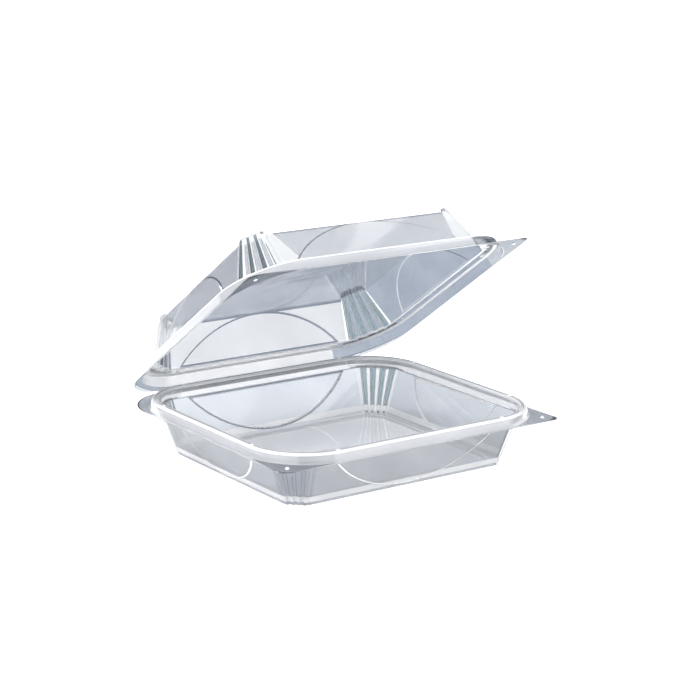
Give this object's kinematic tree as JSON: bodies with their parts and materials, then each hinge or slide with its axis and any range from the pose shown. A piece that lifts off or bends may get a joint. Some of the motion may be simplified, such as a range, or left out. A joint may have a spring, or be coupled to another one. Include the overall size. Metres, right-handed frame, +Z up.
{
  "type": "hinged plastic clamshell pack",
  "caption": "Clear thermoformed clamshell pack, standing open: a square tray with a raised rim and fluted corners, and a matching lid on a fold.",
  "frame": {"origin": "centre of the ring foot that the tray stands on", "axes": "+Z up, +X along the hinge, +Y towards the hinge"},
  "size_m": [0.228, 0.2076, 0.171],
  "materials": {
    "clear_sheet": "clear gloss"
  },
  "bodies": {
    "tray": {"base_tray": "clear_sheet"},
    "lid": {"lid": "clear_sheet"}
  },
  "joints": [
    {"name": "lid_hinge", "type": "hinge", "parent": "tray", "child": "lid", "pos_m": [0, 0.1065, 0.0342], "axis": [-1, 0, 0], "range_deg": [-35, 134]}
  ]
}
